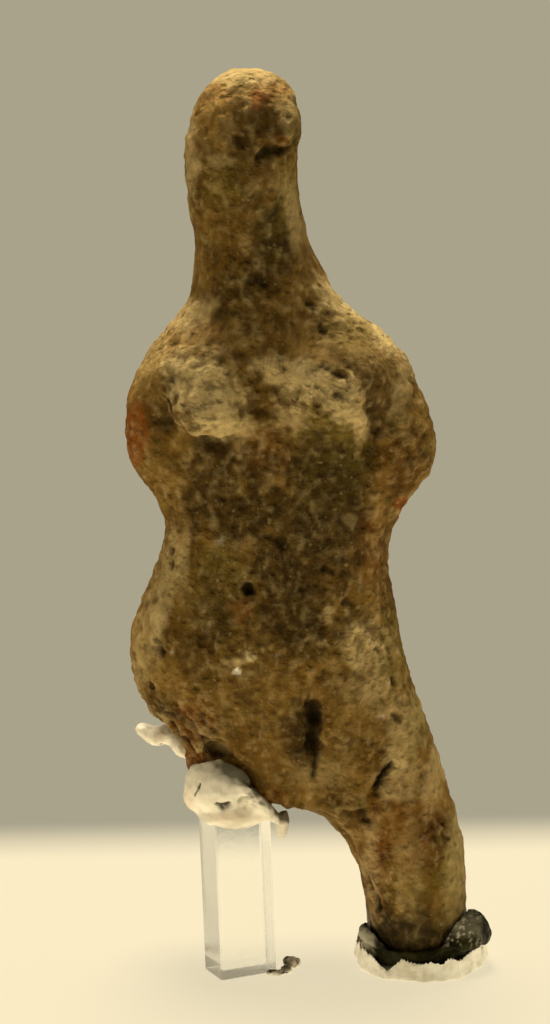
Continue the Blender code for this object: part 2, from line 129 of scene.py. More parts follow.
# Cuts drawn with a tool, and deep creases
CUTS = (
    Mark(((392, 766), (384, 775), (377, 787)), 0.42, 0.8),
    Mark(((259, 157), (264, 152), (276, 150), (284, 151)), 0.42, 0.6),
    Mark(((284, 151), (293, 149)), 0.30, 0.4),
)
CLEFT = (
    Mark(((314, 706), (316, 724)), 0.62, 1.0),
    Mark(((315, 718), (314, 748)), 0.52, 0.9),
    Mark(((314, 740), (316, 760), (313, 777)), 0.36, 0.7),
)
SOFT_CREASES = (
    Mark(((308, 708), (307, 735), (308, 764)), 0.95, 0.55),
    Mark(((300, 715), (298, 750)), 1.40, 0.35),
    Mark(((388, 762), (374, 792)), 0.90, 0.30),
    Mark(((371, 415), (371, 450)), 0.60, 0.35),
    Mark(((371, 450), (368, 486)), 0.60, 0.25),
    Mark(((238, 438), (228, 448), (212, 448), (198, 440)), 0.75, 0.55),
    Mark(((330, 352), (345, 362), (358, 372)), 0.70, 0.35),
    Mark(((362, 378), (376, 400), (382, 430)), 1.20, 0.45),
    Mark(((170, 372), (164, 395), (166, 420)), 1.00, 0.35),
)

# Where the clay is crumbly, in pixels and degrees
CRUMBLY_PATCHES = (
    Patch(196, 388, 42, 44, 0, 1.0),
    Patch(320, 392, 60, 34, 15, 1.0),
    Patch(335, 305, 40, 30, 30, 0.7),
    Patch(250, 90, 40, 22, 0, 0.6),
    Patch(285, 150, 22, 20, 0, 0.6),
    Patch(355, 640, 34, 44, 0, 0.9),
    Patch(250, 655, 26, 12, 0, 0.6),
    Patch(186, 740, 44, 44, 30, 1.0),
    Patch(345, 815, 40, 26, 20, 1.0),
    Patch(440, 830, 16, 16, 0, 1.0),
    Patch(380, 880, 18, 50, -6, 0.8),
    Patch(385, 770, 20, 24, 0, 0.6),
    Patch(400, 460, 24, 50, 0, 0.6),
)

# Ridges and crumbs of clay that stand proud
RIDGES = (
    Mark(((262, 158), (268, 170), (274, 181)), 0.45, -0.30),
    Mark(((262, 372), (285, 362), (305, 368), (330, 378), (345, 392)), 1.00, -0.30),
    Mark(((345, 392), (356, 408), (366, 424)), 0.80, -0.30),
    Mark(((200, 440), (190, 428)), 0.60, -0.20),
    Mark(((228, 660), (240, 657), (252, 662)), 0.40, -0.20),
    Mark(((252, 656), (262, 655)), 0.45, -0.22),
    Mark(((225, 735), (236, 748), (250, 760)), 0.70, -0.45),
    Mark(((178, 722), (192, 742)), 0.40, -0.20),
    Mark(((150, 395), (158, 400)), 0.40, -0.20),
    Mark(((128, 362), (133, 352)), 0.35, -0.15),
)
# Dirty crumbs that stick to the clay beside the putty
CRUMBS = (
    Mark(((276, 796), (283, 801)), 0.45, -0.45),
    Mark(((288, 806), (291, 809)), 0.50, -0.60),
    Mark(((297, 812), (300, 816)), 0.40, -0.60),
    Mark(((262, 782), (268, 788)), 0.40, -0.35),
)

# Gouges where the hip broke off
BREAK_GOUGES = (
    Mark(((176, 716), (190, 728)), 0.55, 0.35),
    Mark(((170, 724), (186, 745)), 0.60, 0.55),
    Mark(((190, 722), (206, 742), (214, 756)), 0.45, 0.40),
    Mark(((200, 716), (216, 736)), 0.40, 0.30),
    Mark(((212, 750), (226, 757)), 0.70, 0.95),
    Mark(((186, 738), (196, 758)), 0.40, 0.30),
    Mark(((180, 750), (190, 768)), 0.45, 0.30),
    Mark(((160, 710), (172, 718)), 0.45, 0.35),
)

# Broad patches of colour, in pixels and degrees, felt only on the side that faces the camera
# The pale patches are pale clay and also painted highlights, where the top of the head, the shoulders, the
# tops of the breasts and the edges of the leg catch the light
PALE_AND_LIT_PATCHES = (
    Patch(247, 74, 42, 13, 0, 0.6),
    Patch(296, 110, 10, 30, 12, 0.15),
    Patch(188, 150, 8, 60, 0, 0.45),
    Patch(218, 160, 12, 8, 0, 0.35),
    Patch(196, 167, 5, 8, 0, 0.6),
    Patch(295, 215, 10, 40, -8, 0.45),
    Patch(190, 315, 26, 16, -30, 0.6),
    Patch(152, 350, 30, 14, -55, 0.25),
    Patch(345, 300, 30, 14, 35, 0.9),
    Patch(385, 335, 26, 12, 55, 0.75),
    Patch(404, 385, 10, 36, 12, 0.4),
    Patch(190, 378, 30, 24, 30, 1.25),
    Patch(212, 400, 36, 32, 0, 1.2),
    Patch(226, 428, 26, 16, 0, 0.85),
    Patch(300, 378, 48, 18, 12, 1.1),
    Patch(335, 398, 30, 20, 35, 1.1),
    Patch(352, 416, 18, 14, 40, 0.7),
    Patch(290, 415, 22, 18, 0, 0.5),
    Patch(362, 425, 8, 22, 0, 0.5),
    Patch(165, 585, 12, 60, 10, 0.55),
    Patch(145, 640, 14, 50, 10, 0.45),
    Patch(182, 560, 7, 36, 4, 0.4),
    Patch(365, 645, 26, 26, 0, 0.5),
    Patch(365, 690, 30, 12, 0, 0.3),
    Patch(240, 660, 16, 6, -10, 0.5),
    Patch(405, 730, 18, 40, 15, 0.5),
    Patch(400, 780, 26, 22, 0, 0.5),
    Patch(380, 690, 20, 30, 0, 0.3),
    Patch(210, 745, 18, 10, 50, 0.3),
    Patch(440, 760, 10, 60, 12, 0.45),
    Patch(456, 870, 12, 70, 3, 0.35),
    Patch(372, 870, 10, 50, -6, 0.45),
    Patch(410, 860, 16, 50, 0, 0.2),
    Patch(320, 775, 30, 16, 0, 0.25),
)
# The dark patches are dark clay and also painted shade, under the brow and the breasts, over the belly and
# beside the cleft
DARK_AND_SHADED_PATCHES = (
    Patch(262, 122, 44, 24, -10, 0.8),
    Patch(248, 165, 40, 30, 0, 0.35),
    Patch(262, 200, 26, 26, 0, 0.35),
    Patch(275, 250, 26, 40, 0, 0.9),
    Patch(240, 300, 34, 30, 0, 0.7),
    Patch(262, 345, 30, 30, 0, 0.35),
    Patch(200, 300, 10, 14, 0, 0.3),
    Patch(385, 405, 22, 40, -10, 0.75),
    Patch(155, 415, 22, 22, 0, 0.4),
    Patch(255, 412, 14, 8, 0, 0.35),
    Patch(322, 462, 42, 36, 0, 0.9),
    Patch(240, 462, 50, 22, 0, 1.0),
    Patch(206, 446, 22, 9, -10, 0.7),
    Patch(205, 488, 28, 26, 0, 0.9),
    Patch(375, 455, 8, 40, 0, 0.6),
    Patch(235, 510, 50, 28, 0, 1.1),
    Patch(310, 530, 62, 56, 0, 1.0),
    Patch(354, 512, 22, 40, 0, 0.45),
    Patch(232, 705, 44, 30, 0, 0.22),
    Patch(350, 735, 30, 40, 0, 0.20),
    Patch(290, 600, 52, 52, 0, 0.95),
    Patch(215, 610, 24, 40, 0, 0.7),
    Patch(400, 480, 12, 30, 20, 0.5),
    Patch(200, 650, 30, 20, 0, 0.3),
    Patch(310, 640, 30, 20, 0, 0.5),
    Patch(301, 735, 18, 36, 0, 1.1),
    Patch(314, 738, 9, 34, 0, 0.8),
    Patch(165, 712, 20, 12, 40, 0.6),
    Patch(345, 815, 30, 12, 30, 0.6),
    Patch(370, 905, 12, 60, 0, 0.45),
    Patch(410, 952, 70, 36, 0, 1.2),
    Patch(400, 915, 30, 20, 0, 0.5),
    Patch(440, 828, 20, 20, 0, 0.4),
)
RUST_PATCHES = (
    Patch(258, 98, 10, 12, 40, 0.8),
    Patch(268, 88, 20, 10, 0, 0.45),
    Patch(215, 92, 20, 14, 0, 0.3),
    Patch(284, 142, 8, 6, 0, 0.5),
    Patch(134, 433, 15, 34, 0, 1.2),
    Patch(125, 380, 8, 30, 20, 0.4),
    Patch(200, 330, 40, 10, 0, 0.25),
    Patch(265, 450, 26, 26, 0, 0.18),
    Patch(403, 506, 9, 9, 0, 1.3),
    Patch(395, 470, 26, 34, 0, 0.22),
    Patch(240, 610, 12, 14, 0, 0.4),
    Patch(190, 730, 26, 30, 30, 0.6),
    Patch(190, 770, 26, 24, 0, 0.8),
    Patch(268, 800, 20, 14, 0, 0.4),
    Patch(375, 880, 12, 50, 0, 0.45),
    Patch(400, 830, 50, 50, 0, 0.3),
    Patch(372, 545, 14, 40, 0, 0.25),
)
# The olive patches are olive clay and also painted light and shade: a greenish rim of light down the right of
# the head and the leg, and shade under the left breast
OLIVE_TINT_AND_LIGHT_PATCHES = (
    Patch(295, 125, 16, 24, 0, 0.6),
    Patch(290, 190, 14, 30, 0, 0.5),
    Patch(275, 235, 22, 30, 0, 0.6),
    Patch(225, 185, 20, 26, 0, 0.4),
    Patch(332, 452, 40, 40, 0, 0.7),
    Patch(355, 330, 36, 22, 0, 0.4),
    Patch(330, 500, 40, 40, 0, 0.5),
    Patch(220, 590, 30, 50, 0, 0.4),
    Patch(425, 700, 14, 60, 14, 0.6),
    Patch(400, 640, 18, 60, 8, 0.4),
    Patch(455, 860, 12, 60, 4, 0.6),
    Patch(363, 807, 6, 6, 0, 1.5),
    Patch(410, 880, 40, 30, 0, 0.3),
    Patch(405, 935, 50, 20, 0, 0.6),
)
# Where wax has crept up the foot and blackened it
WAX_STAINS = (
    Patch(412, 968, 90, 42, 0, 0.9),
    Patch(380, 946, 14, 34, 0, 0.7),
)
# Where pale flecks are painted on the clay's crests, as painted highlights
FLECK_HIGHLIGHT_PATCHES = (
    Patch(352, 632, 36, 44, -20, 1.0),
    Patch(262, 657, 34, 9, 0, 1.0),
    Patch(200, 400, 44, 44, 0, 0.6),
    Patch(325, 395, 56, 30, 15, 0.5),
    Patch(310, 300, 40, 40, 0, 0.6),
    Patch(165, 720, 30, 14, 30, 0.6),
    Patch(400, 760, 30, 50, 0, 0.4),
)
# Grains of light mineral in the clay: pixel, then size in millimetres
WHITE_GRAIN = Mark(((236, 672),), 0.50, 0.0)
PALE_GRAINS = (
    Mark(((247, 657), (252, 658)), 0.22, 0.0),
    Mark(((424, 838),), 0.15, 0.0),
    Mark(((389, 683), (392, 682)), 0.22, 0.0),
    Mark(((278, 655),), 0.22, 0.0),
    Mark(((218, 542), (222, 540)), 0.30, 0.0),
    Mark(((170, 653), (172, 652)), 0.20, 0.0),
    Mark(((379, 717), (384, 716)), 0.22, 0.0),
    Mark(((216, 556),), 0.15, 0.0),
    Mark(((217, 581),), 0.15, 0.0),
)


def camera_axes():
    """Right, up and forward of the camera that took the photograph."""
    forward = Vector((0, math.cos(CAMERA_PITCH), -math.sin(CAMERA_PITCH)))
    level, rise = Vector((1, 0, 0)), Vector((0, math.sin(CAMERA_PITCH), math.cos(CAMERA_PITCH)))
    right = level * math.cos(CAMERA_ROLL) - rise * math.sin(CAMERA_ROLL)
    up = level * math.sin(CAMERA_ROLL) + rise * math.cos(CAMERA_ROLL)
    return right, up, forward


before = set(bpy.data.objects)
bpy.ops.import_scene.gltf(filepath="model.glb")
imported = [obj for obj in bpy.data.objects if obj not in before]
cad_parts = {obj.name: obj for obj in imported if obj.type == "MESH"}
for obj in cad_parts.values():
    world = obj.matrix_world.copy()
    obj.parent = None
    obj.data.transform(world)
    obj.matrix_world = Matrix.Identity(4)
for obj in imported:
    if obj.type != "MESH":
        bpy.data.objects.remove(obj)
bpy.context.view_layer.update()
RIGHT, UP, FORWARD = camera_axes()
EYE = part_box("acrylic_post")[0] + AIM_FROM_POST - FORWARD * CAMERA_DISTANCE


def make_camera():
    data = bpy.data.cameras.new("camera")
    data.lens = SENSOR_LONG_SIDE * FOCAL_PIXELS / FRAME_HIGH
    data.sensor_width = SENSOR_LONG_SIDE
    data.clip_start, data.clip_end = 0.01, 20
    camera = bpy.data.objects.new("camera", data)
    columns = Matrix((RIGHT, UP, -FORWARD)).transposed()
    camera.matrix_world = Matrix.Translation(EYE) @ columns.to_4x4()
    bpy.context.scene.collection.objects.link(camera)
    bpy.context.scene.camera = camera


def sight_line(pixel):
    """The direction from the camera through a pixel of the photograph's frame."""
    across, down = pixel[0] - FRAME_WIDE / 2, pixel[1] - FRAME_HIGH / 2
    return FORWARD + RIGHT * (across / FOCAL_PIXELS) - UP * (down / FOCAL_PIXELS)


def pixels_of(points):
    """Where points show in the photograph's frame, across and down."""
    away = points - np.array(EYE)
    depth = away @ np.array(FORWARD)
    across = FRAME_WIDE / 2 + FOCAL_PIXELS * (away @ np.array(RIGHT)) / depth
    down = FRAME_HIGH / 2 - FOCAL_PIXELS * (away @ np.array(UP)) / depth
    return across, down


def smooth_step(values, low, high):
    t = np.clip((values - low) / (high - low), 0, 1)
    return t * t * (3 - 2 * t)


def soft_noise(points, cell, seed):
    """Soft random lumps about one cell across, from about -1 to 1. A cell may differ along each axis."""
    rng = np.random.default_rng(seed)
    slopes = rng.normal(size=(4096, 3))
    slopes /= np.linalg.norm(slopes, axis=1)[:, None]
    place = points / np.broadcast_to(cell, 3) + rng.uniform(100, 200, 3)
    corner = np.floor(place).astype(np.int64)
    part = place - corner
    ease = part**3 * (part * (part * 6 - 15) + 10)
    total = np.zeros(len(points))
    for step in itertools.product((0, 1), repeat=3):
        key = (corner + step) * (73856093, 19349663, 83492791)
        slope = slopes[(key[:, 0] ^ key[:, 1] ^ key[:, 2]) % 4096]
        share = np.where(step, ease, 1 - ease).prod(axis=1)
        total += share * (slope * (part - step)).sum(axis=1)
    return total * 1.6


def distance_to_path(points, path):
    """How far each point is from a line through the places of a path."""
    if len(path) == 1:
        return np.linalg.norm(points - np.array(path[0]), axis=1)
    nearest = np.full(len(points), np.inf)
    for start, end in zip(path, path[1:]):
        run = np.array(end - start)
        out = points - np.array(start)
        along = np.clip(out @ run / (run @ run), 0, 1)
        nearest = np.minimum(nearest, np.linalg.norm(out - along[:, None] * run, axis=1))
    return nearest


class Skin:
    """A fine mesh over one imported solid, to be worked as the material it stands for."""

    def __init__(self, name, node, grid, rubbing):
        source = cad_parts[node]
        self.obj = bpy.data.objects.new(name, source.data.copy())
        bpy.context.scene.collection.objects.link(self.obj)
        remesh = self.obj.modifiers.new("fine skin", "REMESH")
        remesh.mode = "VOXEL"
        remesh.voxel_size = grid
        rub = self.obj.modifiers.new("rubbed smooth", "SMOOTH")
        rub.factor = 0.5
        rub.iterations = rubbing
        bpy.context.view_layer.update()
        graph = bpy.context.evaluated_depsgraph_get()
        mesh = bpy.data.meshes.new_from_object(self.obj.evaluated_get(graph))
        self.obj.modifiers.clear()
        self.obj.data = mesh
        mesh.name = name
        mesh.polygons.foreach_set("use_smooth", [True] * len(mesh.polygons))
        self.low, self.high = (np.array(corner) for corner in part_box(node))
        self.read()
        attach(self.obj, "root")
        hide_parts(node)
        print(name, "has", sum(len(face.vertices) - 2 for face in mesh.polygons), "triangles")

    def read(self):
        mesh = self.obj.data
        self.points = np.empty(len(mesh.vertices) * 3, np.float32)
        mesh.vertices.foreach_get("co", self.points)
        self.points = self.points.reshape(-1, 3).astype(float)
        self.normals = np.empty(len(mesh.vertices) * 3, np.float32)
        mesh.vertex_normals.foreach_get("vector", self.normals)
        self.normals = self.normals.reshape(-1, 3).astype(float)
        self.across, self.down = pixels_of(self.points)
        self.facing = -(self.normals @ np.array(FORWARD))
        self.rise = np.zeros(len(self.points))
        self.tree = BVHTree.FromPolygons(
            [Vector(point) for point in self.points], [face.vertices[:] for face in mesh.polygons]
        )

    def under(self, pixel):
        """The place on this skin that shows at a pixel, or the nearest place to the line of sight."""
        line = sight_line(pixel)
        hit = self.tree.ray_cast(EYE, line)[0]
        if hit is None:
            middle = Vector((self.low + self.high) / 2)
            depth = (middle - EYE).dot(FORWARD)
            hit = self.tree.find_nearest(EYE + line * depth)[0]
        return hit

    def mark_share(self, mark, steep=2):
        """1 in the middle of a mark, falling to nothing past its width, and faster where it is steep."""
        path = [self.under(pixel) for pixel in mark.path]
        away = distance_to_path(self.points, path)
        ragged = 1 + 0.45 * soft_noise(self.points, mark.width * MM, 7)
        return np.exp(-((away * ragged / (mark.width * MM)) ** steep))

    def press(self, marks, steep=2):
        """Presses marks in, or raises those with a depth below nothing. Returns the deepest share felt."""
        felt = np.zeros(len(self.points))
        for mark in marks:
            share = self.mark_share(mark, steep)
            self.rise -= share * mark.depth * MM
            felt = np.maximum(felt, share)
        return felt

    def patches(self, patches, seed):
        """A mask of soft-edged patches as the camera sees them, broken up a little at their edges."""
        total = np.zeros(len(self.points))
        ragged = 0.35 * soft_noise(self.points, 1.7 * MM, seed)
        ragged += 0.25 * soft_noise(self.points, 0.8 * MM, seed + 1)
        for patch in patches:
            turn = math.radians(patch.tilt)
            x, y = self.across - patch.across, self.down - patch.down
            along = (x * math.cos(turn) + y * math.sin(turn)) / patch.wide
            aside = (y * math.cos(turn) - x * math.sin(turn)) / patch.high
            away = np.sqrt(along**2 + aside**2) + ragged
            total += patch.strength * (1 - smooth_step(away, 0.45, 1.35))
        return total * smooth_step(self.facing, -0.15, 0.15)

    def settle(self):
        """Moves the skin by what was pressed in and raised, and keeps it inside its solid's box."""
        points = self.points + self.rise[:, None] * self.normals
        points = np.clip(points, self.low, self.high)
        self.obj.data.vertices.foreach_set("co", points.astype(np.float32).ravel())
        self.obj.data.update()

    def wear(self, material):
        """Puts one material on the whole skin."""
        self.obj.data.materials.clear()
        self.obj.data.materials.append(material)

    def note(self, name, values):
        """Keeps a mask on the mesh for its material to read."""
        layer = self.obj.data.attributes.new(name, "FLOAT", "POINT")
        layer.data.foreach_set("value", np.clip(values, 0, 1).astype(np.float32))


def add_node(tree, kind, inputs=None, **settings):
    """Adds a shader node, makes its settings, and sets or links its inputs."""
    made = tree.nodes.new(kind)
    for name, value in settings.items():
        setattr(made, name, value)
    for name, value in (inputs or {}).items():
        socket = made.inputs[name]
        if isinstance(value, bpy.types.NodeSocket):
            tree.links.new(value, socket)
        elif socket.type == "RGBA" and len(value) == 3:
            socket.default_value = (*value, 1)
        else:
            socket.default_value = value
    return made


def work_out(tree, operation, first, second=0.0):
    """One sum on two numbers or number outputs."""
    made = tree.nodes.new("ShaderNodeMath")
    made.operation = operation
    for socket, value in zip(made.inputs, (first, second)):
        if isinstance(value, bpy.types.NodeSocket):
            tree.links.new(value, socket)
        else:
            socket.default_value = value
    return made.outputs["Value"]


def vector_work(tree, operation, first, second, output="Vector"):
    """One sum on two places or directions."""
    return add_node(tree, "ShaderNodeVectorMath", {0: first, 1: second}, operation=operation).outputs[output]


def blend(tree, share, below, above):
    """One colour over another by a share."""
    colours = {"Fac": share, "Color1": below, "Color2": above}
    return add_node(tree, "ShaderNodeMixRGB", colours).outputs["Color"]


def lay(tree, colour, over, mask, amount):
    """Lays a colour over another where a mask is felt, weakened by an amount."""
    return blend(tree, work_out(tree, "MULTIPLY", mask, amount), colour, over)


def weigh(tree, first, first_share, second, second_share):
    """Adds two masks, each by its share."""
    first = work_out(tree, "MULTIPLY", first, first_share)
    return work_out(tree, "ADD", first, work_out(tree, "MULTIPLY", second, second_share))


def stretch(tree, value, low, high, start=0.0, end=1.0):
    """Maps low to start and high to end, with a soft step between."""
    made = add_node(
        tree,
        "ShaderNodeMapRange",
        {"Value": value, "From Min": low, "From Max": high, "To Min": start, "To Max": end},
        interpolation_type="SMOOTHSTEP",
    )
    return made.outputs["Result"]


def new_group(name, inputs, output):
    """A named effect with number inputs, each with its default, and one number output."""
    group = bpy.data.node_groups.new(name, "ShaderNodeTree")
    for label, default in inputs.items():
        socket = group.interface.new_socket(label, in_out="INPUT", socket_type="NodeSocketFloat")
        socket.default_value = default
    group.interface.new_socket(output, in_out="OUTPUT", socket_type="NodeSocketFloat")
    entry, leaving = group.nodes.new("NodeGroupInput"), group.nodes.new("NodeGroupOutput")
    place = group.nodes.new("ShaderNodeTexCoord").outputs["Object"]
    return group, entry, leaving, place


def make_mottle_group():
    """Cloudy patches about one size across, from 0 below the low threshold to 1 above the high one."""
    defaults = {"Size": 0.01, "Low": 0.4, "High": 0.6, "Shift": 0.0}
    group, entry, leaving, place = new_group("mottle", defaults, "Mask")
    shifted = vector_work(group, "ADD", place, entry.outputs["Shift"])
    scale = work_out(group, "DIVIDE", 1.0, entry.outputs["Size"])
    look = {"Vector": shifted, "Scale": scale, "Detail": 5, "Roughness": 0.6}
    clouds = add_node(group, "ShaderNodeTexNoise", look)
    mask = stretch(group, clouds.outputs["Fac"], entry.outputs["Low"], entry.outputs["High"])
    group.links.new(mask, leaving.inputs["Mask"])
    return group


def make_grains_group():
    """Scattered specks of about one size, on a share of the places where one could lie."""
    defaults = {"Size": 0.0005, "Share": 0.2, "Shift": 0.0}
    group, entry, leaving, place = new_group("grains", defaults, "Mask")
    shifted = vector_work(group, "ADD", place, entry.outputs["Shift"])
    scale = work_out(group, "DIVIDE", 1.0, entry.outputs["Size"])
    crooked = add_node(group, "ShaderNodeTexNoise", {"Vector": place, "Scale": scale, "Detail": 2})
    turns = {0: crooked.outputs["Color"], "Scale": entry.outputs["Size"]}
    bent = add_node(group, "ShaderNodeVectorMath", turns, operation="SCALE").outputs["Vector"]
    placed = vector_work(group, "ADD", shifted, bent)
    cells = add_node(group, "ShaderNodeTexVoronoi", {"Vector": placed, "Scale": scale})
    split = add_node(group, "ShaderNodeSeparateColor", {"Color": cells.outputs["Color"]})
    reach = stretch(group, split.outputs["Green"], 0.0, 1.0, 0.15, 0.5)
    away = work_out(group, "DIVIDE", cells.outputs["Distance"], reach)
    spot = stretch(group, away, 0.5, 1.1, 1.0, 0.0)
    chosen = work_out(group, "LESS_THAN", split.outputs["Red"], entry.outputs["Share"])
    group.links.new(work_out(group, "MULTIPLY", spot, chosen), leaving.inputs["Mask"])
    return group


def make_grit_group():
    """The height of a gritty, pored skin: fine grain with small pores let into it."""
    defaults = {"Grain": 0.0005, "Pore": 0.0008, "Depth": 0.5}
    group, entry, leaving, place = new_group("grit", defaults, "Height")
    fine = work_out(group, "DIVIDE", 1.0, entry.outputs["Grain"])
    look = {"Vector": place, "Scale": fine, "Detail": 4, "Roughness": 0.65}
    grain = add_node(group, "ShaderNodeTexNoise", look)
    wide = work_out(group, "DIVIDE", 1.0, entry.outputs["Pore"])
    cells = add_node(group, "ShaderNodeTexVoronoi", {"Vector": place, "Scale": wide, "Randomness": 1.0})
    pore = stretch(group, cells.outputs["Distance"], 0.1, 0.45, 1.0, 0.0)
    sunk = work_out(group, "MULTIPLY", pore, entry.outputs["Depth"])
    group.links.new(work_out(group, "SUBTRACT", grain.outputs["Fac"], sunk), leaving.inputs["Height"])
    return group


def effect(tree, group, **inputs):
    """Places one of the named effects in a material with its own values, and gives its output."""
    made = add_node(tree, "ShaderNodeGroup", node_tree=group)
    for name, value in inputs.items():
        made.inputs[name.capitalize()].default_value = value
    return made.outputs[0]


def mask_of(tree, name):
    """A mask that was kept on the mesh."""
    return add_node(tree, "ShaderNodeAttribute", attribute_name=name).outputs["Fac"]


def new_material(name):
    material = bpy.data.materials.new(name)
    material.use_nodes = True
    tree = material.node_tree
    return material, tree, tree.nodes["Principled BSDF"]


def bump(tree, shader, height, depth, strength=1.0):
    """Raises a relief too fine for the mesh, with its full depth in metres."""
    made = add_node(tree, "ShaderNodeBump", {"Height": height, "Distance": depth, "Strength": strength})
    tree.links.new(made.outputs["Normal"], shader.inputs["Normal"])


CLAY_MID = (0.135, 0.068, 0.007)
CLAY_TAN = (0.240, 0.136, 0.026)
CLAY_DARK = (0.044, 0.023, 0.002)
CLAY_PALE = (0.610, 0.450, 0.195)
CLAY_RUST = (0.225, 0.062, 0.003)
CLAY_OLIVE = (0.135, 0.108, 0.012)
GRAIN_WHITE = (0.780, 0.690, 0.520)
# Dark brown for soil and for painted shade
SOIL_AND_SHADE = (0.018, 0.010, 0.001)


def clay_material():
    """Mottled clay with its stains, pale where it is worn and on painted highlights, and dark where soil has
    stayed and in painted shade.
    """
    material, tree, shader = new_material("fired clay")
    colour = blend(tree, effect(tree, MOTTLE, size=0.006, low=0.38, high=0.66), CLAY_MID, CLAY_TAN)
    cloud = effect(tree, MOTTLE, size=0.0035, low=0.45, high=0.62, shift=0.4)
    colour = lay(tree, colour, CLAY_DARK, cloud, 0.35)
    patchy = effect(tree, MOTTLE, size=0.0018, low=0.3, high=0.7, shift=0.9)
    patchy = stretch(tree, patchy, 0, 1, 0.68, 1.0)
    # The pale, dark and olive masks carry painted highlights and painted shade as well as the clay's own
    # colours
    colour_patches = {"olive": CLAY_OLIVE, "dark": CLAY_DARK, "rust": CLAY_RUST, "pale": CLAY_PALE}
    for name, stain in colour_patches.items():
        colour = lay(tree, colour, stain, mask_of(tree, name), patchy)
    colour = lay(tree, colour, CLAY_PALE, mask_of(tree, "streak"), 0.22)
    # Worn mottling and painted highlights on the crests lighten the clay; dirt mottling and painted shade in
    # the troughs darken it
    worn = effect(tree, MOTTLE, size=0.0011, low=0.48, high=0.68, shift=1.3)
    colour = blend(tree, weigh(tree, worn, 0.10, mask_of(tree, "crest_highlight"), 0.20), colour, CLAY_PALE)
    grimy = effect(tree, MOTTLE, size=0.0009, low=0.52, high=0.70, shift=1.7)
    colour = blend(tree, weigh(tree, grimy, 0.22, mask_of(tree, "trough_shade"), 0.34), colour, SOIL_AND_SHADE)
    colour = lay(tree, colour, CLAY_PALE, effect(tree, GRAINS, size=0.0006, share=0.10), 0.20)
    colour = lay(tree, colour, SOIL_AND_SHADE, effect(tree, GRAINS, size=0.0009, share=0.16, shift=0.5), 0.30)
    # Holes, cuts, creases and pores are darkened with soil and painted shade
    colour = blend(tree, mask_of(tree, "grime_and_shade"), colour, SOIL_AND_SHADE)
    colour = blend(tree, mask_of(tree, "grain"), colour, GRAIN_WHITE)
    tree.links.new(colour, shader.inputs["Base Color"])
    tree.links.new(stretch(tree, mask_of(tree, "wet"), 0, 1, 0.82, 0.38), shader.inputs["Roughness"])
    shader.inputs["Specular IOR Level"].default_value = 0.12
    grit = effect(tree, GRIT, grain=0.0007, pore=0.0012, depth=0.45)
    coarser = stretch(tree, mask_of(tree, "crumbly"), 0, 1, 0.9, 1.6)
    bump(tree, shader, work_out(tree, "MULTIPLY", grit, coarser), 0.00050, 1.0)
    return material


PUTTY_WHITE = (0.920, 0.845, 0.685)
PUTTY_SHADE = (0.700, 0.630, 0.490)
PUTTY_GREY = (0.180, 0.160, 0.110)
PUTTY_WARM = (0.820, 0.640, 0.450)
# Dark crust for dirt and for painted shade in the putty's creases
PUTTY_CRUST_AND_SHADE = (0.070, 0.050, 0.022)


def putty_material(name, white, grey_share):
    """Putty pressed with the thumbs, a little greyed by dirt."""
    material, tree, shader = new_material(name)
    clouds = effect(tree, MOTTLE, size=0.0035, low=0.4, high=0.7, shift=0.2)
    colour = blend(tree, clouds, white, PUTTY_SHADE)
    smears = effect(tree, MOTTLE, size=0.0022, low=0.56, high=0.72, shift=0.6)
    colour = lay(tree, colour, PUTTY_GREY, smears, grey_share)
    colour = blend(tree, mask_of(tree, "stain"), colour, PUTTY_GREY)
    colour = blend(tree, mask_of(tree, "blush"), colour, PUTTY_WARM)
    # Creases and nicks are darkened with dirt and painted shade
    colour = blend(tree, mask_of(tree, "grime_and_shade"), colour, PUTTY_CRUST_AND_SHADE)
    tree.links.new(colour, shader.inputs["Base Color"])
    shader.inputs["Roughness"].default_value = 0.55
    bump(tree, shader, effect(tree, GRIT, grain=0.0007, pore=0.0020, depth=0.25), 0.00008, 0.8)
    return material


WAX_BLACK = (0.006, 0.006, 0.002)
WAX_GREEN = (0.024, 0.021, 0.006)
WAX_SMEAR = (0.430, 0.390, 0.280)


def wax_material():
    """Dark wax, greenish where thin, with whitish smears of putty and dust."""
    material, tree, shader = new_material("dark wax")
    colour = blend(tree, effect(tree, MOTTLE, size=0.004, low=0.4, high=0.65), WAX_BLACK, WAX_GREEN)
    colour = blend(tree, mask_of(tree, "smear"), colour, WAX_SMEAR)
    tree.links.new(colour, shader.inputs["Base Color"])
    dull = effect(tree, MOTTLE, size=0.0015, low=0.5, high=0.7, shift=0.3)
    tree.links.new(stretch(tree, dull, 0, 1, 0.25, 0.6), shader.inputs["Roughness"])
    shader.inputs["Specular IOR Level"].default_value = 0.10
    shader.inputs["Specular Tint"].default_value = (1.0, 0.9, 0.6, 1)
    bump(tree, shader, effect(tree, GRIT, grain=0.0012, pore=0.0022, depth=0.35), 0.00025, 0.7)
    return material


# How far the post is turned, and how far from its middle its narrow, sawn faces begin
POST_TURN = math.radians(25)
POST_SAWN_FROM = 3.45 * MM
SAWN_ROUGHNESS = 0.30
UNDERSIDE_ROUGHNESS = 0.90
LIGHT_LET_BY = 0.85


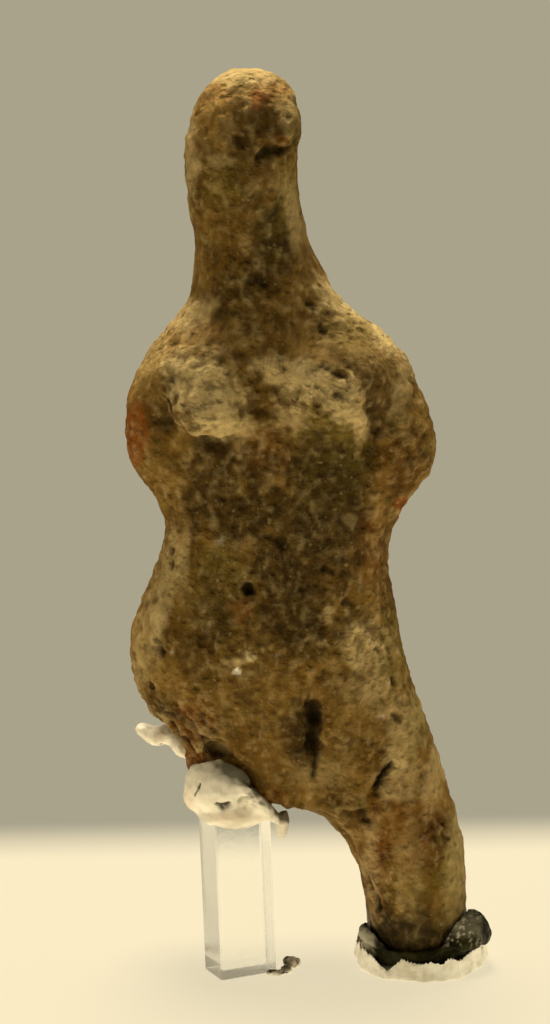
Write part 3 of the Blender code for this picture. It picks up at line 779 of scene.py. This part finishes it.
def acrylic_material():
    """Clear acrylic, polished on its broad faces, frosted by the saw on its narrow ones and dull beneath."""
    material, tree, shader = new_material("clear acrylic")
    shader.inputs["Base Color"].default_value = (1.0, 1.0, 0.98, 1)
    shader.inputs["Transmission Weight"].default_value = 1.0
    shader.inputs["IOR"].default_value = 1.49
    seen_as = tree.nodes.new("ShaderNodeLightPath")
    lets_light_by = work_out(tree, "MULTIPLY", seen_as.outputs["Is Shadow Ray"], LIGHT_LET_BY)
    tree.links.new(work_out(tree, "SUBTRACT", 1.0, lets_light_by), shader.inputs["Alpha"])
    low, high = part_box("acrylic_post")
    place = tree.nodes.new("ShaderNodeTexCoord").outputs["Object"]
    inward = vector_work(tree, "SUBTRACT", place, (low + high) / 2)
    broad = Vector((math.cos(POST_TURN), math.sin(POST_TURN), 0))
    out = work_out(tree, "ABSOLUTE", vector_work(tree, "DOT_PRODUCT", inward, broad, "Value"))
    sides = stretch(tree, out, POST_SAWN_FROM, POST_SAWN_FROM + 0.1 * MM)
    level = add_node(tree, "ShaderNodeSeparateXYZ", {0: inward}).outputs["Z"]
    foot = (low.z - high.z) / 2
    underside = stretch(tree, level, foot + 0.02 * MM, foot + 0.12 * MM, 1.0, 0.0)
    sides = work_out(tree, "MULTIPLY", sides, SAWN_ROUGHNESS)
    sawn = work_out(tree, "MAXIMUM", sides, work_out(tree, "MULTIPLY", underside, UNDERSIDE_ROUGHNESS))
    scratches = effect(tree, MOTTLE, size=0.0012, low=0.45, high=0.75, shift=0.7)
    polished = stretch(tree, scratches, 0, 1, 0.04, 0.14)
    tree.links.new(work_out(tree, "MAXIMUM", polished, sawn), shader.inputs["Roughness"])
    bump(tree, shader, effect(tree, GRIT, grain=0.0010, pore=0.0016, depth=0.2), 0.00002, 0.5)
    return material


# How deep each kind of relief in the clay is, in millimetres. The skin is first drawn in a little.
BROAD_RELIEF, LUMPY_RELIEF = 0.18, 0.22
ROUGH_RELIEF, FINE_RELIEF = 0.19, 0.13
CRUMBLY_ROUGH, CRUMBLY_FINE = 0.22, 0.15
DRAWN_IN = 0.17
PORE_DEPTH = 0.26
STREAK_DEPTH = 0.07
FIBRE_DEPTH = 0.42
BREAK_PATCH = Patch(186, 738, 34, 34, 35, 1.0)
BREAK_TILT = math.radians(-38)

# Marks in the clay, how steep their edges are, and how much soil and painted shade darken them
CLAY_MARKS = (
    (HOLES, 3, 0.9),
    (PITS, 2, 0.4),
    ((NAVEL,), 3, 1.0),
    (CUTS, 3, 0.9),
    (CLEFT, 2, 0.95),
    (SOFT_CREASES, 2, 0.35),
    (BREAK_GOUGES, 2, 0.7),
    (RIDGES, 2, 0.0),
    (CRUMBS, 2, 0.7),
)


def roughen_clay(clay, foot):
    """Gives the clay its lumps, grain, pores and streaks. Returns the small relief and the pores."""
    points = clay.points
    broad = soft_noise(points, 9 * MM, 1)
    lumps = soft_noise(points, 3.2 * MM, 2)
    rough = soft_noise(points, 1.5 * MM, 3)
    fine = soft_noise(points, 0.8 * MM, 4)
    coarse = 0.6 + 0.6 * smooth_step(soft_noise(points, 14 * MM, 5), -0.4, 0.5)
    coarse *= 0.6 + 0.4 * smooth_step(points[:, 2], foot + 12 * MM, foot + 34 * MM)
    crumbly = np.clip(clay.patches(CRUMBLY_PATCHES, 38), 0, 1)
    small = coarse * (ROUGH_RELIEF * rough + FINE_RELIEF * fine)
    small += crumbly * (CRUMBLY_ROUGH * rough + CRUMBLY_FINE * fine)
    clay.rise += (BROAD_RELIEF * broad + LUMPY_RELIEF * lumps + small - DRAWN_IN) * MM
    # Raised relief is painted paler as a highlight, and low relief darker as shade
    clay.note("crest_highlight", smooth_step(small, 0.02, 0.16))
    clay.note("trough_shade", smooth_step(-small, 0.02, 0.16))
    clay.note("crumbly", crumbly)
    pores = smooth_step(soft_noise(points, 1.25 * MM, 6), 0.42, 0.85)
    clay.rise -= PORE_DEPTH * pores * MM
    wander = 2 * MM * np.stack([soft_noise(points, 5 * MM, seed) for seed in (9, 10, 11)], axis=1)
    streaks = soft_noise(points + wander, (0.8 * MM, 0.8 * MM, 2.4 * MM), 12)
    clay.rise += STREAK_DEPTH * streaks * MM
    clay.note("streak", smooth_step(streaks, 0.15, 0.75))
    return small, pores


def break_the_hip(clay):
    """Roughens the break with fibres that run down to the right, as they show there."""
    broken = clay.patches((BREAK_PATCH,), 20)
    grain = np.array(Matrix.Rotation(BREAK_TILT, 3, "Y"))
    fibres = soft_noise(clay.points @ grain, (0.45 * MM, 2.2 * MM, 2.2 * MM), 8)
    clay.rise += broken * FIBRE_DEPTH * fibres * MM
    return broken, fibres


def mark_clay(clay, pores, broken, fibres):
    """Presses every placed mark into the clay, and notes where soil and painted shade darken it and where a
    light grain shows.
    """
    grime_and_shade = 0.25 * pores + 0.5 * broken * smooth_step(-fibres, 0.1, 0.6)
    grime_and_shade += 0.9 * clay.patches(WAX_STAINS, 39)
    for marks, steep, grime_and_shade_share in CLAY_MARKS:
        grime_and_shade += grime_and_shade_share * clay.press(marks, steep)
    clay.note("grime_and_shade", grime_and_shade - 0.12)
    grains = smooth_step(clay.mark_share(WHITE_GRAIN), 0.30, 0.45)
    for mark in PALE_GRAINS:
        grains = np.maximum(grains, 0.30 * clay.mark_share(mark))
    clay.note("grain", grains)


def note_stains_and_painted_light(clay, foot, small, broken, fibres):
    """Notes the stains, painted highlights and painted shade: placed on the front, and scattered on the back,
    which does not show.
    """
    points = clay.points
    # Faces that look up are painted paler, as a painted highlight from the light above
    lit_from_above = smooth_step(clay.normals[:, 2], 0.2, 0.9)
    back = smooth_step(-clay.facing, -0.1, 0.4)
    worn = smooth_step(soft_noise(points, 7 * MM, 30), 0.05, 0.6)
    torn = 0.45 * broken * smooth_step(fibres, 0.1, 0.6)
    fleck_highlights = clay.patches(FLECK_HIGHLIGHT_PATCHES, 40) * smooth_step(small, 0.02, 0.16)
    pale = clay.patches(PALE_AND_LIT_PATCHES, 31) + 0.45 * back * worn + 0.18 * lit_from_above + torn + 0.6 * fleck_highlights
    clay.note("pale", pale)
    shade = smooth_step(soft_noise(points, 8 * MM, 32), 0.0, 0.6)
    clay.note("dark", clay.patches(DARK_AND_SHADED_PATCHES, 33) + 0.5 * back * shade)
    stained = smooth_step(soft_noise(points, 6 * MM, 34), 0.3, 0.8)
    clay.note("rust", clay.patches(RUST_PATCHES, 35) + 0.6 * back * stained)
    greened = smooth_step(soft_noise(points, 6 * MM, 36), 0.2, 0.8)
    clay.note("olive", clay.patches(OLIVE_TINT_AND_LIGHT_PATCHES, 37) + 0.5 * back * greened)
    clay.note("wet", 1 - smooth_step(points[:, 2], foot + 3 * MM, foot + 9 * MM))


def clay_figurine():
    clay = Skin("clay_woman", "figurine", CLAY_SKIN, 14)
    foot = float(clay.low[2])
    small, pores = roughen_clay(clay, foot)
    broken, fibres = break_the_hip(clay)
    mark_clay(clay, pores, broken, fibres)
    note_stains_and_painted_light(clay, foot, small, broken, fibres)
    clay.settle()
    clay.wear(clay_material())


# Creases between the rolls of the putty at the hip
HIP_CREASES = (
    Mark(((240, 802), (252, 796), (262, 786)), 0.45, 0.45),
    Mark(((250, 784), (262, 778)), 0.40, 0.35),
    Mark(((252, 806), (262, 802)), 0.35, 0.25),
    Mark(((264, 783), (278, 798), (286, 808)), 0.35, 0.35),
)
# Small dirty nicks in the putty
HIP_NICKS = (
    Mark(((199, 784), (197, 789)), 0.20, 0.30),
    Mark(((196, 791), (194, 796)), 0.12, 0.12),
    Mark(((216, 804), (222, 805), (229, 803)), 0.20, 0.25),
    Mark(((221, 807), (223, 809)), 0.26, 0.30),
)
HIP_STAINS = (
    Patch(242, 772, 26, 12, 25, 1.1),
    Patch(226, 776, 18, 10, 30, 0.4),
    Patch(270, 798, 26, 8, 42, 0.55),
    Patch(258, 790, 12, 6, -30, 0.8),
    Patch(225, 806, 8, 4, 0, 0.9),
    Patch(285, 813, 12, 8, 30, 1.2),
    Patch(280, 800, 10, 6, 40, 0.6),
    Patch(205, 818, 12, 5, 0, 0.35),
    Patch(273, 765, 10, 8, 0, 0.8),
)
HIP_BLUSH = (
    Patch(182, 802, 12, 16, 0, 0.5),
    Patch(235, 818, 24, 5, 0, 0.5),
)


def hip_putty():
    putty = Skin("putty_at_the_hip", "hip_putty", PUTTY_SKIN, 8)
    points = putty.points
    lumps, fine = soft_noise(points, 3.0 * MM, 40), soft_noise(points, 1.0 * MM, 41)
    putty.rise += (0.16 * lumps + 0.05 * fine - 0.05) * MM
    creases = putty.press(HIP_CREASES)
    nicks = putty.press(HIP_NICKS, 3)
    # The creases are darkened as painted shade, the nicks as dirt
    putty.note("grime_and_shade", np.maximum(0.8 * creases - 0.3, 1.2 * nicks - 0.2))
    putty.note("stain", putty.patches(HIP_STAINS, 42))
    putty.note("blush", putty.patches(HIP_BLUSH, 43))
    putty.settle()
    finish_putty(putty, "hip putty", PUTTY_WHITE, 0.35)


def small_putty(name, node, seed, colour_patches=(), crumbly=0.05, dirty_from=0.5):
    """A dab of putty with no creases of its own, more or less crumbly and dirty."""
    putty = Skin(name, node, PUTTY_SKIN / 1.5, 6)
    points = putty.points
    lumps, fine = soft_noise(points, 1.6 * MM, seed), soft_noise(points, 0.6 * MM, seed + 1)
    putty.rise += (0.10 * lumps + crumbly * fine) * MM
    dirt = soft_noise(points, 0.9 * MM, seed + 2)
    putty.note("grime_and_shade", smooth_step(dirt, dirty_from, dirty_from + 0.3))
    clouded = 0.5 * smooth_step(soft_noise(points, 1.8 * MM, seed + 3), 0.2, 0.7)
    putty.note("stain", clouded + putty.patches(colour_patches, seed + 5))
    putty.note("blush", 0.4 * smooth_step(soft_noise(points, 2.4 * MM, seed + 4), 0.1, 0.7))
    putty.settle()
    finish_putty(putty, name.replace("_", " "), PUTTY_WHITE, 0.3)


def finish_putty(putty, name, white, grey_share):
    putty.wear(putty_material(name, white, grey_share))


BED_WHITE = (0.970, 0.920, 0.780)


def foot_bed():
    bed = Skin("putty_bed", "foot_bed", BED_SKIN, 3)
    points = bed.points
    top = smooth_step(points[:, 2], 0.3 * MM, 0.9 * MM)
    torn = soft_noise(points, 1.4 * MM, 50)
    middle, half = (bed.low + bed.high) / 2, (bed.high - bed.low) / 2
    reach = np.hypot(*((points - middle) / half)[:, :2].T)
    jags = smooth_step(soft_noise(points * (1, 1, 0), 1.7 * MM, 52), -0.1, 0.6)
    jags *= smooth_step(reach, 0.70, 0.85)
    points[:, 2] -= 0.3 * jags * np.maximum(points[:, 2] - 0.5 * MM, 0)
    bed.rise += top * (0.10 * torn + 0.04 * soft_noise(points, 0.6 * MM, 51) - 0.03) * MM
    bed.note("grime_and_shade", np.zeros(len(points)))
    bed.note("stain", 0.25 * smooth_step(torn, 0.2, 0.7))
    bed.note("blush", 0.2 * smooth_step(-torn, 0.2, 0.7))
    bed.settle()
    finish_putty(bed, "bed putty", BED_WHITE, 0.10)


# Where whitish specks lie on the wax
WAX_SMEARS = (
    Patch(456, 930, 16, 16, 0, 0.9),
    Patch(450, 912, 10, 10, 0, 0.8),
    Patch(468, 938, 12, 10, 0, 0.6),
    Patch(480, 915, 8, 10, 0, 0.3),
)
# Where thin putty and dust cover the wax
WAX_DUSTED = (
    Patch(361, 944, 16, 18, 10, 1.1),
    Patch(452, 916, 10, 16, 0, 0.55),
    Patch(466, 926, 14, 12, 0, 0.28),
)


def foot_wax():
    wax = Skin("wax_collar", "foot_wax", WAX_SKIN, 6)
    points = wax.points
    lumps, fine = soft_noise(points, 2.2 * MM, 60), soft_noise(points, 0.9 * MM, 61)
    wax.rise += (0.20 * lumps + 0.14 * fine - 0.06) * MM
    speckled = soft_noise(points, (0.5 * MM, 0.5 * MM, 0.8 * MM), 62)
    speckled += 0.6 * soft_noise(points, 0.3 * MM, 65)
    broken = smooth_step(speckled, 0.1, 0.5)
    wax.note("smear", wax.patches(WAX_SMEARS, 63) * broken + 0.75 * wax.patches(WAX_DUSTED, 64))
    wax.settle()
    wax.wear(wax_material())


def clear_post():
    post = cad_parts["acrylic_post"]
    post.material_slots[0].material = acrylic_material()


# The floor's own colour is weak and it glows, so that it looks evenly lit from edge to edge
FLOOR_CREAM = (0.160, 0.145, 0.110)
FLOOR_GLOW_COLOUR = (0.913, 0.807, 0.565)
FLOOR_GLOW = 0.80
FLOOR_BOUNCE = 0.70
WALL_BEIGE = (0.402, 0.366, 0.262)
FLOOR_BEHIND = 60 * MM
FLOOR_FADES_FROM = 42 * MM
FLOOR_AHEAD = 260 * MM
FLOOR_ASIDE = 300 * MM
FLOOR_EDGE = 5 * MM
FLOOR_SKIRT = 40 * MM
FLOOR_DROP = 0.02 * MM
ROOM_LIGHT = 0.35


def make_floor():
    """A plain pale floor, whose far edge rolls down a little way behind the figurine."""
    rows = [(-FLOOR_AHEAD, 0.0), (FLOOR_BEHIND, 0.0)]
    for step in range(1, 9):
        turn = math.radians(90) * step / 8
        rows.append((FLOOR_BEHIND + FLOOR_EDGE * math.sin(turn), -FLOOR_EDGE * (1 - math.cos(turn))))
    rows.append((FLOOR_BEHIND + FLOOR_EDGE, -FLOOR_SKIRT))
    points = [(side * FLOOR_ASIDE, y, z) for y, z in rows for side in (-1, 1)]
    faces = [(2 * i, 2 * i + 1, 2 * i + 3, 2 * i + 2) for i in range(len(rows) - 1)]
    mesh = bpy.data.meshes.new("floor")
    mesh.from_pydata(points, [], faces)
    floor = bpy.data.objects.new("floor", mesh)
    floor.location.z = -FLOOR_DROP
    bpy.context.scene.collection.objects.link(floor)
    material, tree, shader = new_material("pale floor")
    place = tree.nodes.new("ShaderNodeTexCoord").outputs["Object"]
    back = add_node(tree, "ShaderNodeSeparateXYZ", {0: place}).outputs["Y"]
    far = stretch(tree, back, FLOOR_FADES_FROM, FLOOR_BEHIND + 0.2 * FLOOR_EDGE)
    tree.links.new(blend(tree, far, FLOOR_CREAM, (0, 0, 0)), shader.inputs["Base Color"])
    tree.links.new(blend(tree, far, FLOOR_GLOW_COLOUR, WALL_BEIGE), shader.inputs["Emission Color"])
    glow = stretch(tree, far, 0, 1, FLOOR_GLOW, 1.0)
    bounced = tree.nodes.new("ShaderNodeLightPath").outputs["Is Diffuse Ray"]
    glow = work_out(tree, "ADD", glow, work_out(tree, "MULTIPLY", bounced, FLOOR_BOUNCE))
    tree.links.new(glow, shader.inputs["Emission Strength"])
    shader.inputs["Roughness"].default_value = 0.6
    shader.inputs["Specular IOR Level"].default_value = 0.0
    mesh.materials.append(material)


WARM_LIGHT = (1.0, 0.90, 0.68)
# Each light's name, place, aim and size across in metres, power in watts, and colour
LIGHTS = (
    ("light from above", (-0.03, 0.07, 0.42), (0, 0, 0.05), 0.16, 2.3, WARM_LIGHT),
    ("light from the left", (-0.42, -0.25, 0.20), (0, 0, 0.05), 0.25, 0.36, WARM_LIGHT),
    ("light from the right", (0.45, 0.06, 0.12), (0, 0, 0.03), 0.20, 0.48, (1.0, 0.92, 0.66)),
)


def make_light(name, place, aim, size, power, colour):
    data = bpy.data.lights.new(name, "AREA")
    data.shape = "DISK"
    data.size = size
    data.energy = power
    data.color = colour
    light = bpy.data.objects.new(name, data)
    light.location = place
    light.rotation_mode = "QUATERNION"
    light.rotation_quaternion = (Vector(aim) - Vector(place)).to_track_quat("-Z", "Y")
    bpy.context.scene.collection.objects.link(light)


def light_the_scene():
    """Soft warm light from above and a little behind, with a weak one from each side."""
    world = bpy.data.worlds.new("plain room")
    world.use_nodes = True
    tree = world.node_tree
    backdrop = tree.nodes["Background"]
    backdrop.inputs["Color"].default_value = (*WALL_BEIGE, 1)
    seen = tree.nodes.new("ShaderNodeLightPath").outputs["Is Camera Ray"]
    tree.links.new(stretch(tree, seen, 0, 1, ROOM_LIGHT, 1.0), backdrop.inputs["Strength"])
    bpy.context.scene.world = world
    for light in LIGHTS:
        make_light(*light)


bpy.context.scene.view_settings.view_transform = "Standard"
MOTTLE, GRAINS, GRIT = make_mottle_group(), make_grains_group(), make_grit_group()
make_camera()
light_the_scene()
make_floor()
clay_figurine()
clear_post()
hip_putty()
small_putty("putty_behind_the_hip", "back_putty", 70)
small_putty("crumb_of_putty", "putty_crumb", 80, (Patch(283, 962, 12, 8, 0, 1.0),), 0.16, 0.15)
foot_wax()
foot_bed()
